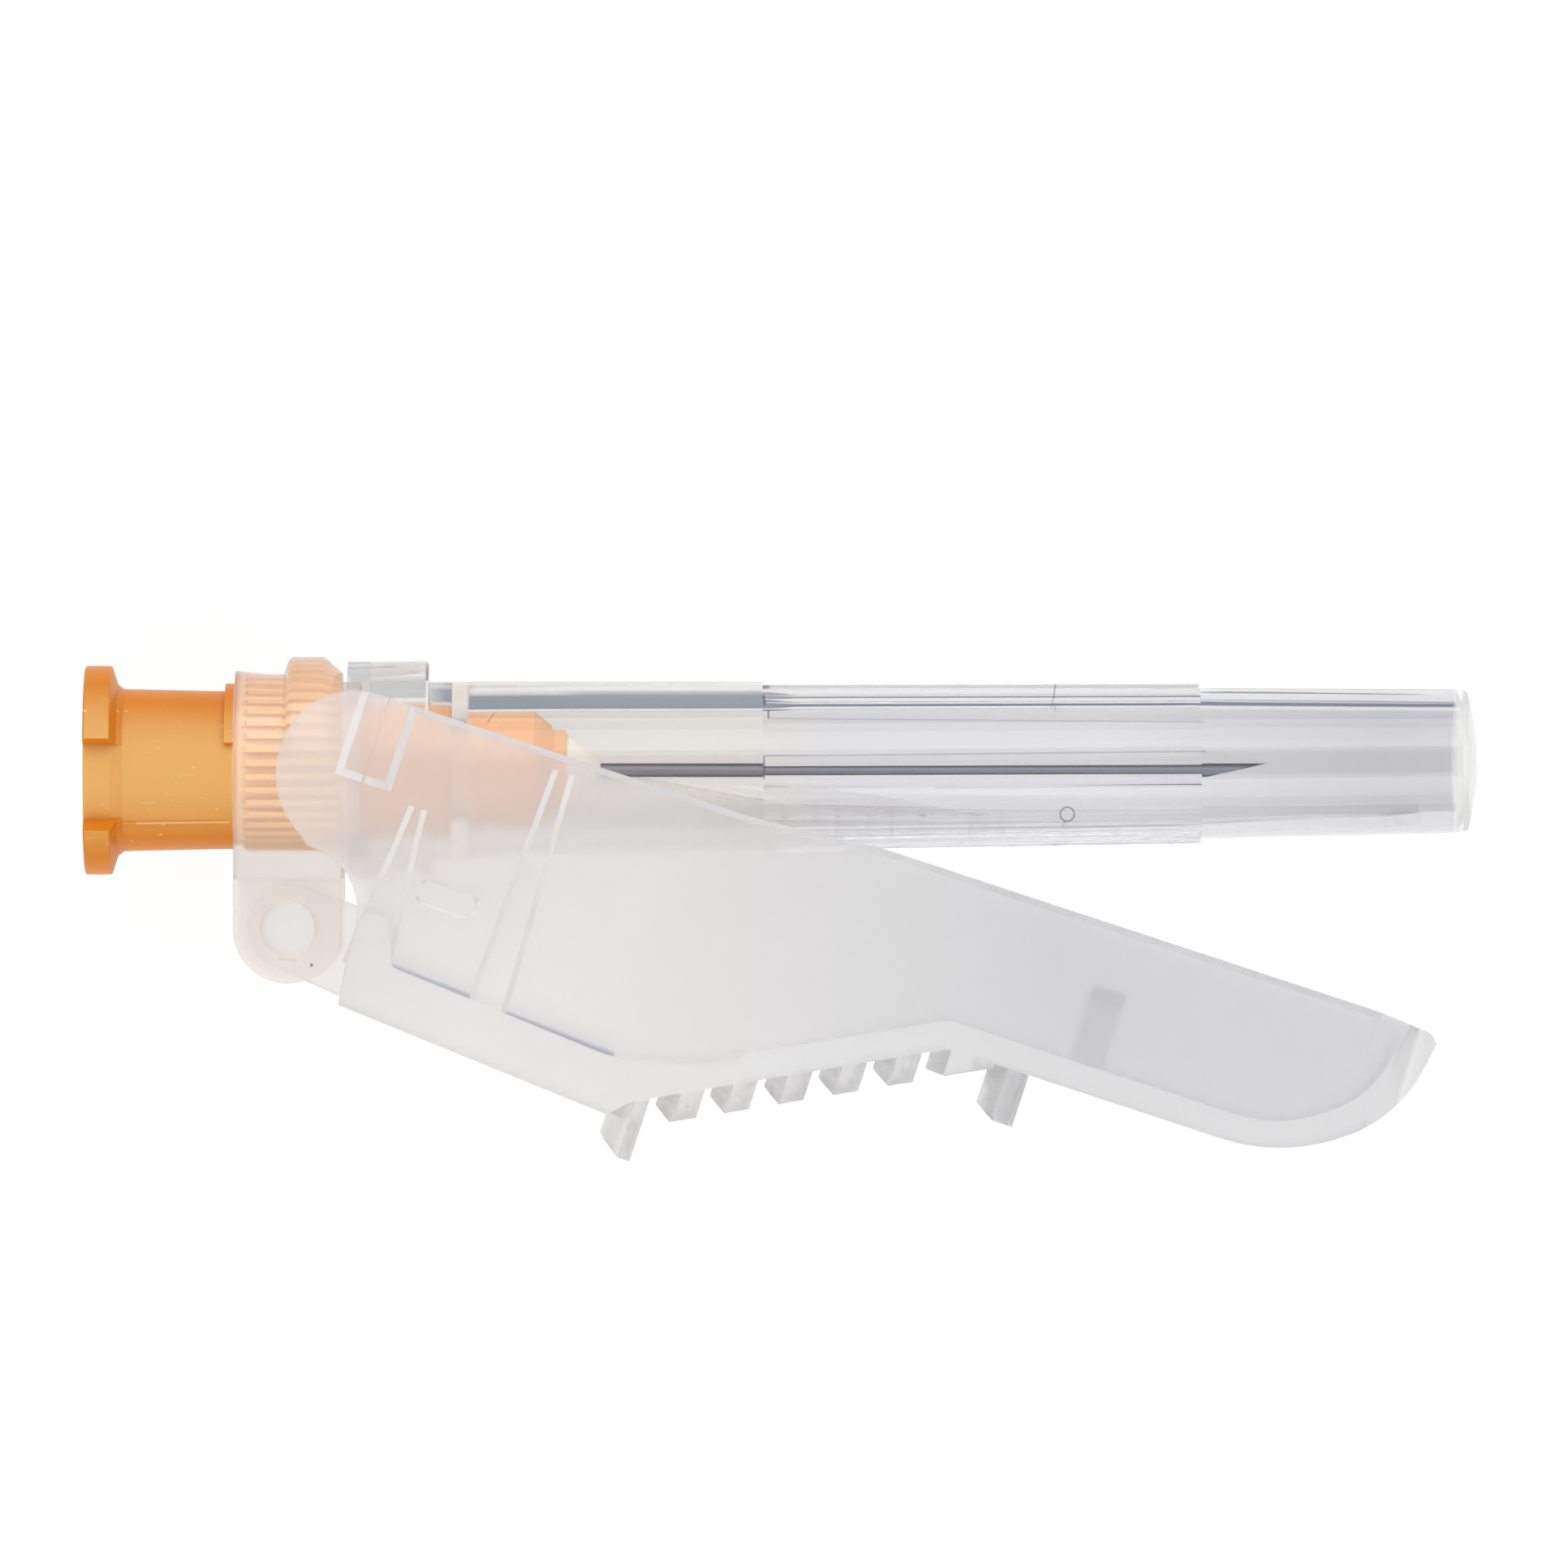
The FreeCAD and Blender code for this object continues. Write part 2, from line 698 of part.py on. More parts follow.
def make_ridges():
    base = ridge_floor
    top = slim_floor - ridge_root
    outer_plan = upright(plan(wide_outer, slim_outer, guard_tip, tip_corner_round), base, top)
    slope = math.radians(pad_angle_deg)
    made = []
    # Even teeth along the pad, crests level with its slope
    for i in range(tooth_count):
        front_u = tooth_first + i * tooth_pitch
        start = front_u - tooth_width - ridge_bow - ridge_margin
        end = front_u + ridge_margin
        side = across([
            (start, pad_height(start) - tooth_height, 0),
            (end, pad_height(end) - tooth_height, 0),
            (end, pad_height(end) + ridge_root, 0),
            (start, pad_height(start) + ridge_root, 0),
        ], -wide_outer, wide_outer)
        made.append(bowed(front_u, tooth_width, base, top).common(side))
    teeth = made[0].multiFuse(made[1:])
    foot = FreeCAD.Vector(pad_start, pad_start_height, 0)
    teeth.rotate(foot, Z_AXIS, -pad_angle_deg)
    drop = tooth_height * math.cos(slope)
    teeth = teeth.cut(dip_cutter(slim_outer, tooth_dip, pad_start_height - drop, pad_start - 5, 30))
    teeth.rotate(foot, Z_AXIS, pad_angle_deg)
    # Tall ridge at the rear of the pad
    rear_front = pad_start + rear_ridge_width
    rear_back = pad_start - ridge_bow - ridge_margin
    rear_side = across([
        (rear_back, rear_ridge_crest, 0),
        (rear_front, rear_ridge_crest, 0),
        (rear_front, pad_height(rear_front) + ridge_root, 0),
        (rear_back, keel_front + ridge_root, 0),
    ], -wide_outer, wide_outer)
    rear = bowed(rear_front, rear_ridge_width, base, top).common(rear_side)
    rear = rear.cut(dip_cutter(wide_outer, tooth_dip, rear_ridge_crest, 5, 20))
    # Wedge tooth and tall ridge at the front of the pad
    wedge_end = wedge_start + wedge_length
    wedge_back = wedge_start - ridge_bow - ridge_margin
    wedge_side = across([
        (wedge_back, slim_keel - wedge_rear_height, 0),
        (wedge_start, slim_keel - wedge_rear_height, 0),
        (wedge_end, slim_keel - wedge_front_height, 0),
        (wedge_end, slim_keel + ridge_root, 0),
        (wedge_back, slim_keel + ridge_root / 2, 0),
    ], -wide_outer, wide_outer)
    wedge = bowed(wedge_end, wedge_length, base, top).common(wedge_side)
    front_end = front_ridge_start + front_ridge_width
    front_back = front_ridge_start - ridge_bow - ridge_margin
    front_side = across([
        (front_back, front_ridge_crest, 0),
        (front_end, front_ridge_crest, 0),
        (front_end, slim_keel + ridge_root, 0),
        (front_back, slim_keel + ridge_root, 0),
    ], -wide_outer, wide_outer)
    front = bowed(front_end, front_ridge_width, base, top).common(front_side)
    front = front.cut(dip_cutter(slim_outer, front_ridge_dip, front_ridge_crest, 20, 20))
    return [shape.common(outer_plan) for shape in (teeth, rear, wedge, front)]


def window(start, end, foot, top, inset, corner):
    # Four corners of an upright rectangle on the guard's side, drawn in by the inset
    return [
        (start + inset, foot + inset, corner),
        (end - inset, foot + inset, corner),
        (end - inset, top - inset, corner),
        (start + inset, top - inset, corner),
    ]


def drafted(low_corners, low, high_corners, high):
    # A block between two side outlines at two places along Z, so its sides lean
    wires = []
    for corners, place in ((low_corners, low), (high_corners, high)):
        wire = outline(corners).OuterWire
        wire.translate(Z_AXIS * place)
        wires.append(wire)
    return Part.makeLoft(wires, True, True)


def rib_section(u, height, width, rise):
    # One level of a rib on the inside of the +Z wall, with leaning flanks and its root in the wall
    foot = width / 2
    crest = foot - rib_draft
    corners = [
        (u - foot, wide_half + wall_root),
        (u + foot, wide_half + wall_root),
        (u + foot, wide_half),
        (u + crest, wide_half - rise),
        (u - crest, wide_half - rise),
        (u - foot, wide_half),
    ]
    points = [FreeCAD.Vector(x, height, z) for x, z in corners]
    return Part.makePolygon(points + [points[0]])


def wall_rib(u, top, top_width, root, root_width):
    # A rib on the inside of the +Z wall, thicker and wider at the floor
    lower = rib_section(u, root, root_width, rib_root)
    upper = rib_section(u, top, top_width, rib_rise)
    return Part.makeLoft([lower, upper], True, True)


def rim_bevel():
    # A run of wedges that takes the inner corner off the +Z rim, station by station
    def half_at(u):
        share = min(max((u - taper_start) / (taper_end - taper_start), 0), 1)
        return wide_half + (slim_half - wide_half) * share - bevel_margin

    ramp_rise = slim_rim_height - rim_height - rim_ramp_lift
    ramp_share = (taper_end - rim_ramp_middle) / (rim_ramp_end - rim_ramp_middle)
    stations = [
        (0, rim_height),
        (taper_start, rim_height),
        (rim_ramp_start, rim_height),
        (rim_ramp_middle, rim_height + rim_ramp_lift),
        (taper_end, rim_height + rim_ramp_lift + ramp_rise * ramp_share),
        (rim_ramp_end, slim_rim_height),
        (guard_tip - tip_rim_back, slim_rim_height),
    ]
    wires = []
    for u, height in stations:
        half = half_at(u)
        corners = [
            FreeCAD.Vector(u, height - rim_chamfer, half),
            FreeCAD.Vector(u, height + bevel_reach, half + rim_chamfer + bevel_reach),
            FreeCAD.Vector(u, height + bevel_reach, half),
        ]
        wires.append(Part.makePolygon(corners + [corners[0]]))
    wedges = [Part.makeLoft([a, b], True, True) for a, b in zip(wires, wires[1:])]
    return wedges[0].multiFuse(wedges[1:])


def make_guard():
    shell = across(guard_side(), -wide_outer, wide_outer)
    shell = shell.common(upright(plan(wide_outer, slim_outer, guard_tip, tip_corner_round), -10, 15))
    channel = across(channel_side(), -wide_outer, wide_outer)
    inner_plan = upright(plan(wide_half, slim_half, guard_tip + 2, 0.5), -12, 15)
    shell = shell.cut(channel.common(inner_plan))
    # Bevelled inner edge along both rims
    bevel = rim_bevel()
    shell = shell.cut(bevel).cut(mirrored(bevel))
    # Tongue between the ears, with a barrel round the hinge and a trunnion on each side
    drop = web_u + tongue_root
    slope = math.tan(math.radians(tongue_slope_deg))
    tongue = across([
        (0, tongue_barrel_r, 0),
        (0, -tongue_barrel_r, 0),
        (drop, -tongue_barrel_r - drop * slope, 0),
        (drop, web_top, 0),
    ], -tongue_half, tongue_half)
    barrel = Part.makeCylinder(
        tongue_barrel_r, 2 * tongue_half, FreeCAD.Vector(0, 0, -tongue_half), Z_AXIS
    )
    pin_end = tongue_half + trunnion_length
    trunnion = Part.makeCylinder(trunnion_r, 2 * pin_end, FreeCAD.Vector(0, 0, -pin_end), Z_AXIS)
    # Inner ribs and the small boss on both walls
    rear_rib = wall_rib(rear_rib_u, rear_rib_top, rear_rib_top_width, floor_rear - 0.4, rear_rib_root_width)
    front_rib = wall_rib(
        front_rib_u, front_rib_top, front_rib_top_width, floor_front - 0.2, front_rib_root_width
    )
    boss_ends = (boss_u - boss_length / 2, boss_u + boss_length / 2,
                 boss_v - boss_width / 2, boss_v + boss_width / 2)
    boss = drafted(window(*boss_ends, 0, boss_round), wide_half + draft_overlap,
                   window(*boss_ends, boss_draft, boss_round - boss_draft), wide_half - boss_rise)
    one_side = [rear_rib, front_rib, boss]
    other_side = [mirrored(shape) for shape in one_side]
    # Hook that catches the cannula when the guard is closed
    hook_top = slim_floor + hook_height
    post = Part.makeBox(
        hook_length, hook_height + hook_root, hook_thick,
        FreeCAD.Vector(hook_u, slim_floor - hook_root, hook_side),
    )
    head = outline([
        (hook_side + hook_overlap, hook_top, 0),
        (hook_side - hook_reach, hook_top - hook_head, 0),
        (hook_side + hook_overlap, hook_top - hook_head, 0),
    ]).extrude(Z_AXIS * hook_length)
    head.rotate(CENTRE, Y_AXIS, -90)
    head.translate(FreeCAD.Vector(hook_u + hook_length, 0, 0))
    solid = shell.multiFuse(
        [tongue, barrel, trunnion, post, head] + one_side + other_side + make_ridges()
    )
    # Pocket in each wall that snaps over the collar's band, with a thin line of flash down its middle
    pocket_ends = (pocket_start, pocket_end, pocket_foot, rim_height + wide_half)
    pocket = drafted(window(*pocket_ends, 0, 0), wide_half - draft_overlap,
                     window(*pocket_ends, pocket_draft, 0), wide_half + pocket_depth)
    line = Part.makeBox(
        pocket_line, 2 * rim_height, 2 * wide_outer,
        FreeCAD.Vector((pocket_start + pocket_end - pocket_line) / 2, 0, 0),
    )
    pocket = pocket.cut(line)
    solid = solid.cut(pocket).cut(mirrored(pocket))
    solid = solid.removeSplitter()
    solid.rotate(CENTRE, Z_AXIS, -guard_tilt_deg)
    solid.translate(FreeCAD.Vector(hinge_x, hinge_y, 0))
    return solid


def save(name, shape):
    shape.exportStep("parts/" + name + ".step")
    box = shape.BoundBox
    print(name, "solids", len(shape.Solids), "valid", shape.isValid(), "volume", round(shape.Volume, 3),
          "x", round(box.XMin, 2), round(box.XMax, 2), "y", round(box.YMin, 2), round(box.YMax, 2),
          "z", round(box.ZMin, 2), round(box.ZMax, 2))


os.makedirs("parts", exist_ok=True)
save("needle_hub", make_hub())
save("cannula", make_cannula())
save("adhesive_bead", make_bead())
save("hinge_collar", make_collar())
save("protective_cap", make_cap())
save("safety_sheath", make_guard())
print("hinge centre", round(hinge_x, 3), round(hinge_y, 3))
print("needle point", round(point_x, 3), "cap end", round(cap_end_x, 3))
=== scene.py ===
# Safety needle lying on a white table: orange hub, milky collar and guard, clear cap over the cannula.
import bpy
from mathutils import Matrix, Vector


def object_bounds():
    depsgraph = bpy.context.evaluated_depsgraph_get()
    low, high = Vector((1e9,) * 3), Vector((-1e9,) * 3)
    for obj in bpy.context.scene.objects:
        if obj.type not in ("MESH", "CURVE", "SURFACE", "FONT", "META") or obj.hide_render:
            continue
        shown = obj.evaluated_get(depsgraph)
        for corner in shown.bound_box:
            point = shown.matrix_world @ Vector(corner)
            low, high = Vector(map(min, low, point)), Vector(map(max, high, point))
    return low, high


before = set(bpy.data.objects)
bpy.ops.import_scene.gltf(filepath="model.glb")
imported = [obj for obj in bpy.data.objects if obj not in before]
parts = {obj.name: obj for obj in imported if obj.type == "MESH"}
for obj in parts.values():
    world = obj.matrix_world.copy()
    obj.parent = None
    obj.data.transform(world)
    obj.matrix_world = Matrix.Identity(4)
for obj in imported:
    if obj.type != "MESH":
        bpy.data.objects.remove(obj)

cadLow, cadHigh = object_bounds()
mm = 0.001
scene = bpy.context.scene
scene.view_settings.view_transform = "Standard"

view = {
    "centre": (26.08, -0.515),  # mm, the middle of the picture on the table plane
    "width": 58.545,            # mm across the whole picture
    "distance": 700.0,          # mm, a long lens from straight above
    "sensor": 36.0,
    "clip": (0.01, 20),         # metres
}


def makeCamera(s):
    data = bpy.data.cameras.new("camera")
    data.sensor_width = s["sensor"]
    data.lens = s["sensor"] * s["distance"] / s["width"]
    data.clip_start, data.clip_end = s["clip"]
    camera = bpy.data.objects.new("camera", data)
    camera.location = Vector((*s["centre"], s["distance"])) * mm
    scene.collection.objects.link(camera)
    scene.camera = camera


makeCamera(view)
print("camera placed")


# Small helpers for node trees
def newMaterial(name):
    material = bpy.data.materials.new(name)
    material.use_nodes = True
    tree = material.node_tree
    tree.nodes.clear()
    return material, tree


def put(tree, kind, inputs=None, **settings):
    node = tree.nodes.new(kind)
    for key, value in settings.items():
        setattr(node, key, value)
    for key, value in (inputs or {}).items():
        if isinstance(value, bpy.types.NodeSocket):
            tree.links.new(value, node.inputs[key])
        else:
            node.inputs[key].default_value = value
    return node


def maths(tree, operation, first, second=0.0, clamp=False):
    node = put(tree, "ShaderNodeMath", {0: first, 1: second}, operation=operation, use_clamp=clamp)
    return node.outputs[0]


def product(tree, first, *others):
    for other in others:
        first = maths(tree, "MULTIPLY", first, other)
    return first


def spread(tree, value, low, high, outLow=0.0, outHigh=1.0):
    return put(tree, "ShaderNodeMapRange", {0: value, 1: low, 2: high, 3: outLow, 4: outHigh}).outputs[0]


def fade(tree, place, span, outLow=0.0, outHigh=1.0):
    # From one value to the other over a stretch given in mm
    return spread(tree, place, span[0] * mm, span[1] * mm, outLow, outHigh)


def between(tree, place, low, high):
    # One inside a stretch given in mm, and nothing outside it
    return product(tree, maths(tree, "GREATER_THAN", place, low * mm),
                   maths(tree, "LESS_THAN", place, high * mm))


def vector(tree, operation, first, second):
    node = put(tree, "ShaderNodeVectorMath", {0: first, 1: second}, operation=operation)
    return node.outputs["Value" if operation in ("DISTANCE", "DOT_PRODUCT") else "Vector"]


def objectPoint(tree):
    # Where a point lies on its piece, in metres: X along the needle, Y across it, Z up
    coordinate = put(tree, "ShaderNodeTexCoord").outputs["Object"]
    return put(tree, "ShaderNodeSeparateXYZ", {0: coordinate}).outputs


def planPoint(tree):
    # The same point seen in plan, with the height left out
    place = objectPoint(tree)
    return put(tree, "ShaderNodeCombineXYZ", {0: place["X"], 1: place["Y"]}).outputs[0]


def axisDistance(tree, place):
    across, up = (maths(tree, "POWER", place[axis], 2.0) for axis in ("Y", "Z"))
    return maths(tree, "SQRT", maths(tree, "ADD", across, up))


def faceUp(tree):
    # How far up a face looks: one on top, nothing on a side, minus one below
    normal = put(tree, "ShaderNodeTexCoord").outputs["Normal"]
    return put(tree, "ShaderNodeSeparateXYZ", {0: normal}).outputs["Z"]


def noise(tree, scale, detail):
    # The scale is per metre along the needle, across it and up
    coordinate = put(tree, "ShaderNodeTexCoord").outputs["Object"]
    place = put(tree, "ShaderNodeMapping", {"Vector": coordinate, "Scale": scale}).outputs[0]
    return put(tree, "ShaderNodeTexNoise", {"Vector": place, "Scale": 1.0, "Detail": detail}).outputs["Fac"]


def uneven(tree, pattern, limits):
    # Nearly all of a noise pattern lies between 0.3 and 0.7
    return spread(tree, pattern, 0.3, 0.7, *limits)


def ramp(tree, pattern, stops, tones):
    node = put(tree, "ShaderNodeValToRGB", {"Fac": pattern})
    for element, stop, tone in zip(node.color_ramp.elements, stops, tones):
        element.position = stop
        element.color = (*tone, 1)
    return node.outputs["Color"]


def blend(tree, share, first, second):
    # Two colours mixed; a plain colour is given as three numbers
    first, second = ((*tone, 1) if isinstance(tone, tuple) else tone for tone in (first, second))
    return put(tree, "ShaderNodeMix", {0: share, 6: first, 7: second}, data_type="RGBA").outputs[2]


def blendValue(tree, share, first, second):
    return put(tree, "ShaderNodeMix", {0: share, 2: first, 3: second}).outputs[0]


def blendShader(tree, share, first, second):
    return put(tree, "ShaderNodeMixShader", {0: share, 1: first, 2: second}).outputs[0]


def principled(tree, inputs):
    return put(tree, "ShaderNodeBsdfPrincipled", inputs).outputs[0]


def relief(tree, height, strength, depth, before=None):
    # The depth is in mm
    inputs = {"Height": height, "Strength": strength, "Distance": depth * mm}
    if before is not None:
        inputs["Normal"] = before
    return put(tree, "ShaderNodeBump", inputs).outputs[0]


def mark(tree, flat, kind, numbers, width, soft):
    # Share of a small mark at a point, all in mm: a spot, a ring or a straight stroke
    if kind == "stroke":
        start, end = Vector((*numbers[:2], 0)) * mm, Vector((*numbers[2:], 0)) * mm
        aim = (end - start).normalized()
        reach = vector(tree, "DOT_PRODUCT", vector(tree, "SUBTRACT", flat, start), aim)
        reach = maths(tree, "MINIMUM", maths(tree, "MAXIMUM", reach, 0.0), (end - start).length)
        step = put(tree, "ShaderNodeVectorMath", {0: aim, "Scale": reach}, operation="SCALE").outputs[0]
        away = vector(tree, "DISTANCE", flat, vector(tree, "ADD", step, start))
    else:
        away = vector(tree, "DISTANCE", flat, Vector((*numbers[:2], 0)) * mm)
    if kind == "ring":
        away = maths(tree, "ABSOLUTE", maths(tree, "SUBTRACT", away, numbers[2] * mm))
    return fade(tree, away, (width / 2, width / 2 + soft), 1, 0)


def marks(tree, entries):
    flat = planPoint(tree)
    total = None
    for kind, numbers, width, soft, strength in entries:
        one = product(tree, mark(tree, flat, kind, numbers, width, soft), strength)
        total = one if total is None else maths(tree, "MAXIMUM", total, one)
    return total


# Marks in a matt tone: ink marks, and painted shade lines on the guard and the cap
def inkAndShadeOver(tree, shader, share, tone):
    inkAndShade = put(tree, "ShaderNodeBsdfDiffuse", {"Color": (*tone, 1)}).outputs[0]
    return blendShader(tree, share, shader, inkAndShade)


def lampsThrough(tree, shader, tone):
    # Lamps reach what lies behind a clear wall
    shadowRay = put(tree, "ShaderNodeLightPath").outputs["Is Shadow Ray"]
    clear = put(tree, "ShaderNodeBsdfTransparent", {"Color": (*tone, 1)}).outputs[0]
    return blendShader(tree, shadowRay, shader, clear)


def finishMaterial(tree, shader, volume=None):
    out = tree.nodes.new("ShaderNodeOutputMaterial")
    tree.links.new(shader, out.inputs["Surface"])
    if volume is not None:
        tree.links.new(volume, out.inputs["Volume"])


def dress(name, material):
    for slot in parts[name].material_slots:
        slot.material = material


table = {
    "size": 1600.0,                 # mm
    "sink": 0.004,                  # mm that the table lies below the lowest point
    "colour": (0.93, 0.93, 0.93),
    "seen": 1.04,                   # brightness where the camera, glass and gloss see it
    "share": 0.9,                   # how much of that is plain white, the rest carries the shadow
    # A dark strip on the far side of the needle, found only by light that a clear wall has mirrored
    "slate": (0.17, 0.23, 0.31),    # beside the rear of the cap
    "slateFront": (0.05, 0.08, 0.17),
    "slateStart": 9.6,              # mm along the needle
    "slateRear": (12.4, 13.2),      # mm along the needle, over which it grows to its full strength
    "slateWeak": 0.45,              # its strength before that, under the cap's flange
    "slateTurn": (25.5, 26.5),      # mm along the needle, from the rear's tone and width to the front's
    "slateNear": (3.8, 6.2),        # mm from the needle's line to its near edge, at the rear and the front
    "slateFar": (15.0, 11.0),       # the same to its far edge
    "slateSoft": 1.2,               # mm over which both edges fade
}


def slateShare(tree, s, path, place):
    mirrored = maths(tree, "GREATER_THAN", path["Glossy Depth"], 0.5)
    near = fade(tree, place["X"], s["slateTurn"], s["slateNear"][0] * mm, s["slateNear"][1] * mm)
    far = fade(tree, place["X"], s["slateTurn"], s["slateFar"][0] * mm, s["slateFar"][1] * mm)
    pastNear = maths(tree, "DIVIDE", maths(tree, "SUBTRACT", place["Y"], near), s["slateSoft"] * mm, True)
    beforeFar = maths(tree, "DIVIDE", maths(tree, "SUBTRACT", far, place["Y"]), s["slateSoft"] * mm, True)
    started = maths(tree, "GREATER_THAN", place["X"], s["slateStart"] * mm)
    strength = fade(tree, place["X"], s["slateRear"], s["slateWeak"], 1)
    return product(tree, mirrored, path["Is Transmission Ray"], pastNear, beforeFar, started, strength)


def tablePaper(s):
    material, tree = newMaterial("white table")
    path = put(tree, "ShaderNodeLightPath").outputs
    seen = maths(tree, "MAXIMUM", path["Is Camera Ray"], path["Is Glossy Ray"])
    seen = maths(tree, "MAXIMUM", seen, path["Is Transmission Ray"])
    position = put(tree, "ShaderNodeNewGeometry").outputs["Position"]
    place = put(tree, "ShaderNodeSeparateXYZ", {0: position}).outputs
    slate = blend(tree, fade(tree, place["X"], s["slateTurn"]), s["slate"], s["slateFront"])
    tone = blend(tree, slateShare(tree, s, path, place), (1, 1, 1), slate)
    glow = put(tree, "ShaderNodeEmission", {"Color": tone, "Strength": s["seen"]}).outputs[0]
    paper = put(tree, "ShaderNodeBsdfDiffuse", {"Color": (*s["colour"], 1)}).outputs[0]
    finishMaterial(tree, blendShader(tree, product(tree, seen, s["share"]), paper, glow))
    return material


def makeTable(s):
    half = s["size"] / 2 * mm
    middle = view["centre"][0] * mm
    low = cadLow.z - s["sink"] * mm
    corners = [(middle - half, -half, low), (middle + half, -half, low),
               (middle + half, half, low), (middle - half, half, low)]
    mesh = bpy.data.meshes.new("table")
    mesh.from_pydata(corners, [], [(0, 1, 2, 3)])
    floor = bpy.data.objects.new("table", mesh)
    scene.collection.objects.link(floor)
    mesh.materials.append(tablePaper(s))


sky = {
    "ambient": (0.4, 0.4, 0.4),     # on matt surfaces
    "room": (0.78, 0.78, 0.79),     # what gloss and glass find round the softboxes
}


def makeWorld(s):
    world = bpy.data.worlds.new("studio")
    scene.world = world
    world.use_nodes = True
    tree = world.node_tree
    tree.nodes.clear()
    path = put(tree, "ShaderNodeLightPath").outputs
    bent = maths(tree, "MAXIMUM", path["Is Glossy Ray"], path["Is Transmission Ray"])
    tone = blend(tree, bent, s["ambient"], s["room"])
    tone = blend(tree, path["Is Camera Ray"], tone, (1, 1, 1))
    back = put(tree, "ShaderNodeBackground", {"Color": tone, "Strength": 1.0})
    out = tree.nodes.new("ShaderNodeOutputWorld")
    tree.links.new(back.outputs[0], out.inputs["Surface"])


lamps = {
    # name: place in mm, size in mm, watts
    "far": ((26, 420, 380), (900, 500), 2.3),
    "near": ((26, -420, 380), (900, 500), 1.9),
}


def makeLamps(s):
    for name, (place, size, power) in s.items():
        data = bpy.data.lights.new(name, "AREA")
        data.shape = "RECTANGLE"
        data.size, data.size_y = size[0] * mm, size[1] * mm
        data.energy = power
        lamp = bpy.data.objects.new(name, data)
        lamp.location = Vector(place) * mm
        aim = Vector((view["centre"][0], 0, 0)) * mm - lamp.location
        lamp.rotation_mode = "QUATERNION"
        lamp.rotation_quaternion = aim.to_track_quat("-Z", "Y")
        scene.collection.objects.link(lamp)


makeTable(table)
makeWorld(sky)
makeLamps(lamps)
scene.cycles.max_bounces = 20
scene.cycles.transmission_bounces = 16
scene.cycles.glossy_bounces = 12
print("table, world and lamps made")


hub = {
    "deep": (0.72, 0.215, 0.004),
    "light": (0.76, 0.25, 0.007),
    "stops": (0.3, 0.75),
    "glow": (0.82, 0.46, 0.14),      # painted highlight: the upper side drawn paler, as if lit from above
    "paintedHighlightUp": (0.55, 1.0),           # how far up a face looks where the painted highlight starts and where it is full
    "seat": (0.95, 0.60, 0.29),      # top of the stretch under the collar, drawn paler as painted light for what the collar scatters into it
    "seatSide": (0.74, 0.31, 0.08),
    "seatUp": (0.2, 0.8),            # how far up a face looks, from the painted shaded side to the painted lit top
    "seatRise": (5.5, 5.8),          # mm along the needle where that stretch starts
    "seatFall": (9.3, 10.2),         # mm along the needle where it gives way to the front
    "paintedLitGroove": (0.95, 0.66, 0.40),    # between the ribs, drawn paler as painted light for light from the collar
    "grooveRadius": (2.86, 2.93),    # mm
    "front": (0.86, 0.42, 0.155),    # thin sleeve and nose, drawn paler as painted light from below
    "pale": (0.95, 0.75, 0.45),      # flecks, scratches and the parting line
    "parting": [("stroke", (2.0, -1.98, 5.4, -1.94), 0.02, 0.04, 0.5)],
    "dark": (0.12, 0.05, 0.03),
    "hair": [("stroke", (15.5, 2.1, 15.05, 1.55), 0.02, 0.02, 0.85)],
    # Noise: scale per metre and detail; then from where to where it shows, or its strength and depth in mm
    "flow": ((300, 900, 900), 3.0),
    "fleck": ((3400, 5200, 5200), 0.0),
    "fleckShare": (0.8, 0.86, 0, 0.45),
    "scratch": ((900, 16000, 900), 1.0),
    "scratchShare": (0.74, 0.8, 0, 0.3),
    "grain": ((9000, 9000, 9000), 2.0),
    "grainRelief": (0.15, 0.03),
    "drawn": ((700, 14000, 14000), 4.0),
    "drawnRelief": (0.2, 0.02),
    "roughness": (0.34, 0.42),
    "ior": 1.5,
    "shine": 0.22,
    "subsurface": 0.3,
    "radius": (0.8, 0.4, 0.2),       # mm that red, green and blue light travel inside
}


# The hub's own orange with its random flow, flecks, scratches, parting line and hair, plus painted light:
# paler upper faces, a paler stretch under the collar and a paler front
def hubToneAndPaintedLight(tree, s, flow):
    place = objectPoint(tree)
    up = faceUp(tree)
    tone = ramp(tree, flow, s["stops"], (s["deep"], s["light"]))
    # Painted highlight: faces that look up drawn paler
    tone = blend(tree, spread(tree, up, *s["paintedHighlightUp"]), tone, s["glow"])
    # Painted light: the stretch under the collar paler, most on top and between the ribs
    seat = blend(tree, spread(tree, up, *s["seatUp"]), s["seatSide"], s["seat"])
    seat = blend(tree, fade(tree, axisDistance(tree, place), s["grooveRadius"], 1, 0), seat, s["paintedLitGroove"])
    tone = blend(tree, fade(tree, place["X"], s["seatRise"]), tone, seat)
    # Painted light: the thin sleeve and nose drawn paler
    tone = blend(tree, fade(tree, place["X"], s["seatFall"]), tone, s["front"])
    fleck = spread(tree, noise(tree, *s["fleck"]), *s["fleckShare"])
    scratch = spread(tree, noise(tree, *s["scratch"]), *s["scratchShare"])
    pale = maths(tree, "MAXIMUM", maths(tree, "MAXIMUM", fleck, scratch), marks(tree, s["parting"]))
    tone = blend(tree, pale, tone, s["pale"])
    return blend(tree, marks(tree, s["hair"]), tone, s["dark"])


